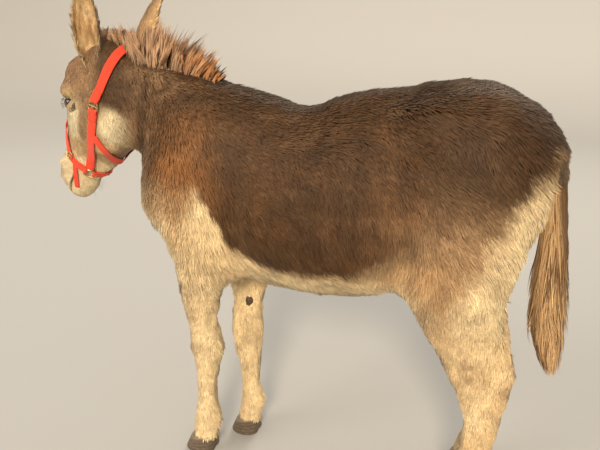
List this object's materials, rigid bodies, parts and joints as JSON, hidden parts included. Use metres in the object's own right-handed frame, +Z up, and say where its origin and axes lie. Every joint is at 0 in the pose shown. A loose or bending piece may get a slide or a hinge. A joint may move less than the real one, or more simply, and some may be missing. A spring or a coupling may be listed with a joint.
{
  "type": "donkey",
  "caption": "Standing brown donkey with cream underparts and legs, a short upright mane, long ears, a tufted tail and a red webbing halter.",
  "frame": {"origin": "on the floor under the middle of the donkey's length and width", "axes": "+X towards the tail, the head towards -X, the donkey's left side towards -Y, +Z up"},
  "size_m": [1.3928, 0.4164, 1.2907],
  "materials": {
    "coat_body": "shaggy brown coat, cream below",
    "coat_head": "short grey-brown coat, whitish round the eyes and muzzle",
    "coat_legs": "cream coat with brown-grey patches",
    "mane_hair": "coarse upright hair",
    "tail_hair": "long straight hair",
    "hoof_horn": "dull horn",
    "eye": "wet, dark brown",
    "red_webbing": "woven flat webbing",
    "brass_fittings": "worn satin"
  },
  "bodies": {
    "root": {"trunk": "coat_body", "neck": "coat_body", "head": "coat_head", "foreleg_upper_left": "coat_legs", "foreleg_lower_left": "coat_legs", "hoof_fore_left": "hoof_horn", "foreleg_upper_right": "coat_legs", "foreleg_lower_right": "coat_legs", "hoof_fore_right": "hoof_horn", "hindleg_upper_left": "coat_legs", "hindleg_lower_left": "coat_legs", "hoof_hind_left": "hoof_horn", "hindleg_upper_right": "coat_legs", "hindleg_lower_right": "coat_legs", "hoof_hind_right": "hoof_horn", "tail": "coat_body", "tail_brush": "tail_hair", "halter_crown": "red_webbing", "halter_ring_left": "brass_fittings", "halter_buckle_left": "brass_fittings", "halter_cheek_strap_left": "red_webbing", "halter_ring_right": "brass_fittings", "halter_buckle_right": "brass_fittings", "halter_cheek_strap_right": "red_webbing", "halter_noseband_strap": "red_webbing", "halter_chin_strap": "red_webbing", "halter_throat_strap": "red_webbing", "halter_nose_buckle": "brass_fittings", "halter_strap_end": "red_webbing", "mane": "mane_hair", "eye_left": "eye", "ear_left": "coat_head", "eye_right": "eye", "ear_right": "coat_head"}
  },
  "joints": []
}
